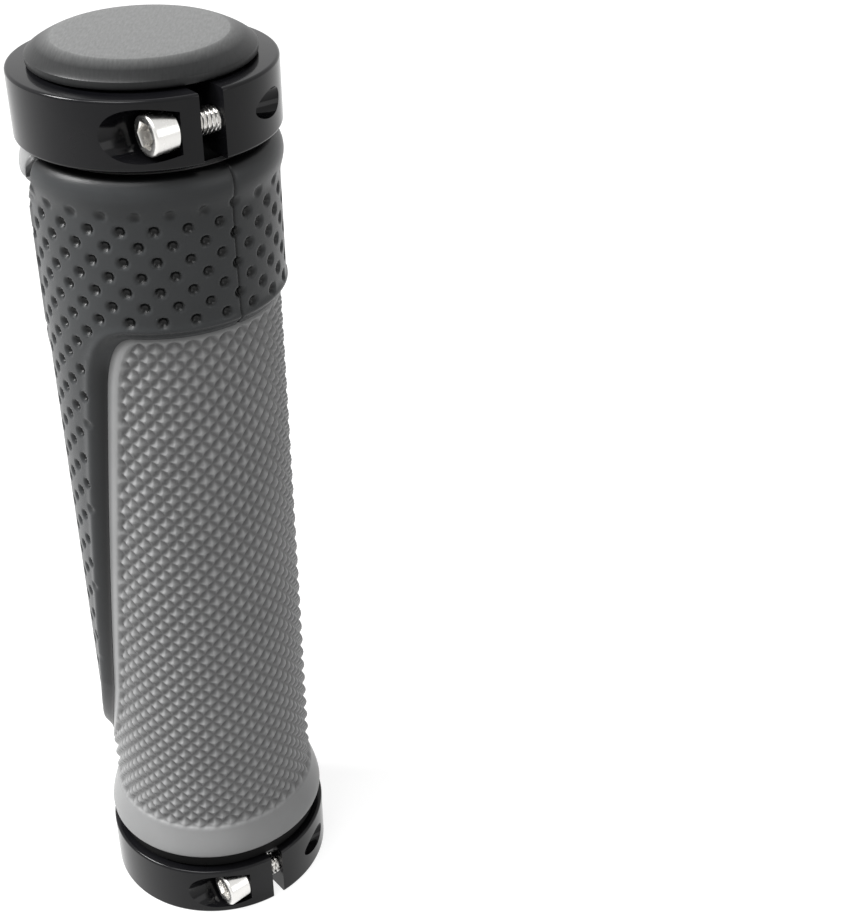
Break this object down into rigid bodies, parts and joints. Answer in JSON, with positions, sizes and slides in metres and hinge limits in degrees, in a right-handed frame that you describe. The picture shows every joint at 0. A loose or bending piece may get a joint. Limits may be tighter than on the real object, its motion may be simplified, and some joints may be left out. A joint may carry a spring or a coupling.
{
  "type": "handlebar grip",
  "caption": "Clamp-on bicycle handlebar grip: two-colour moulded rubber on a plastic sleeve, a screwed clamp ring at each end and a bar end plug.",
  "frame": {"origin": "the bar's axis at the inboard ring's flat outer face, on which the grip stands", "axes": "+Z along the bar's axis towards its end, -Y the side that the picture's left grip shows, +X to the right in that view"},
  "size_m": [0.0336, 0.0351, 0.1352],
  "materials": {
    "sleeve_plastic": "black moulded nylon",
    "grey_rubber": "mid grey moulded rubber with a diamond knurl",
    "black_rubber": "charcoal moulded rubber with rows of round dimples",
    "ring_anodised": "gloss black anodised, bright turned edges",
    "screw_steel": "bright plated steel",
    "plug_plastic": "matte charcoal plastic with a fine brushed grain on top"
  },
  "bodies": {
    "grip": {"inner_sleeve": "sleeve_plastic", "grey_grip_rubber": "grey_rubber", "black_grip_rubber": "black_rubber", "lower_clamp_ring": "ring_anodised", "upper_clamp_ring": "ring_anodised", "end_plug": "plug_plastic"},
    "lower_screw": {"lower_clamp_screw": "screw_steel"},
    "upper_screw": {"upper_clamp_screw": "screw_steel"}
  },
  "joints": [
    {"name": "lower_screw_turn", "type": "hinge", "parent": "grip", "child": "lower_screw", "pos_m": [0.00881, -0.01088, 0.00435], "axis": [-0.7771, -0.6293, 0], "range_deg": [0, 720]},
    {"name": "upper_screw_turn", "type": "hinge", "parent": "grip", "child": "upper_screw", "pos_m": [0.00881, -0.01088, 0.12765], "axis": [-0.7771, -0.6293, 0], "range_deg": [0, 720]}
  ]
}
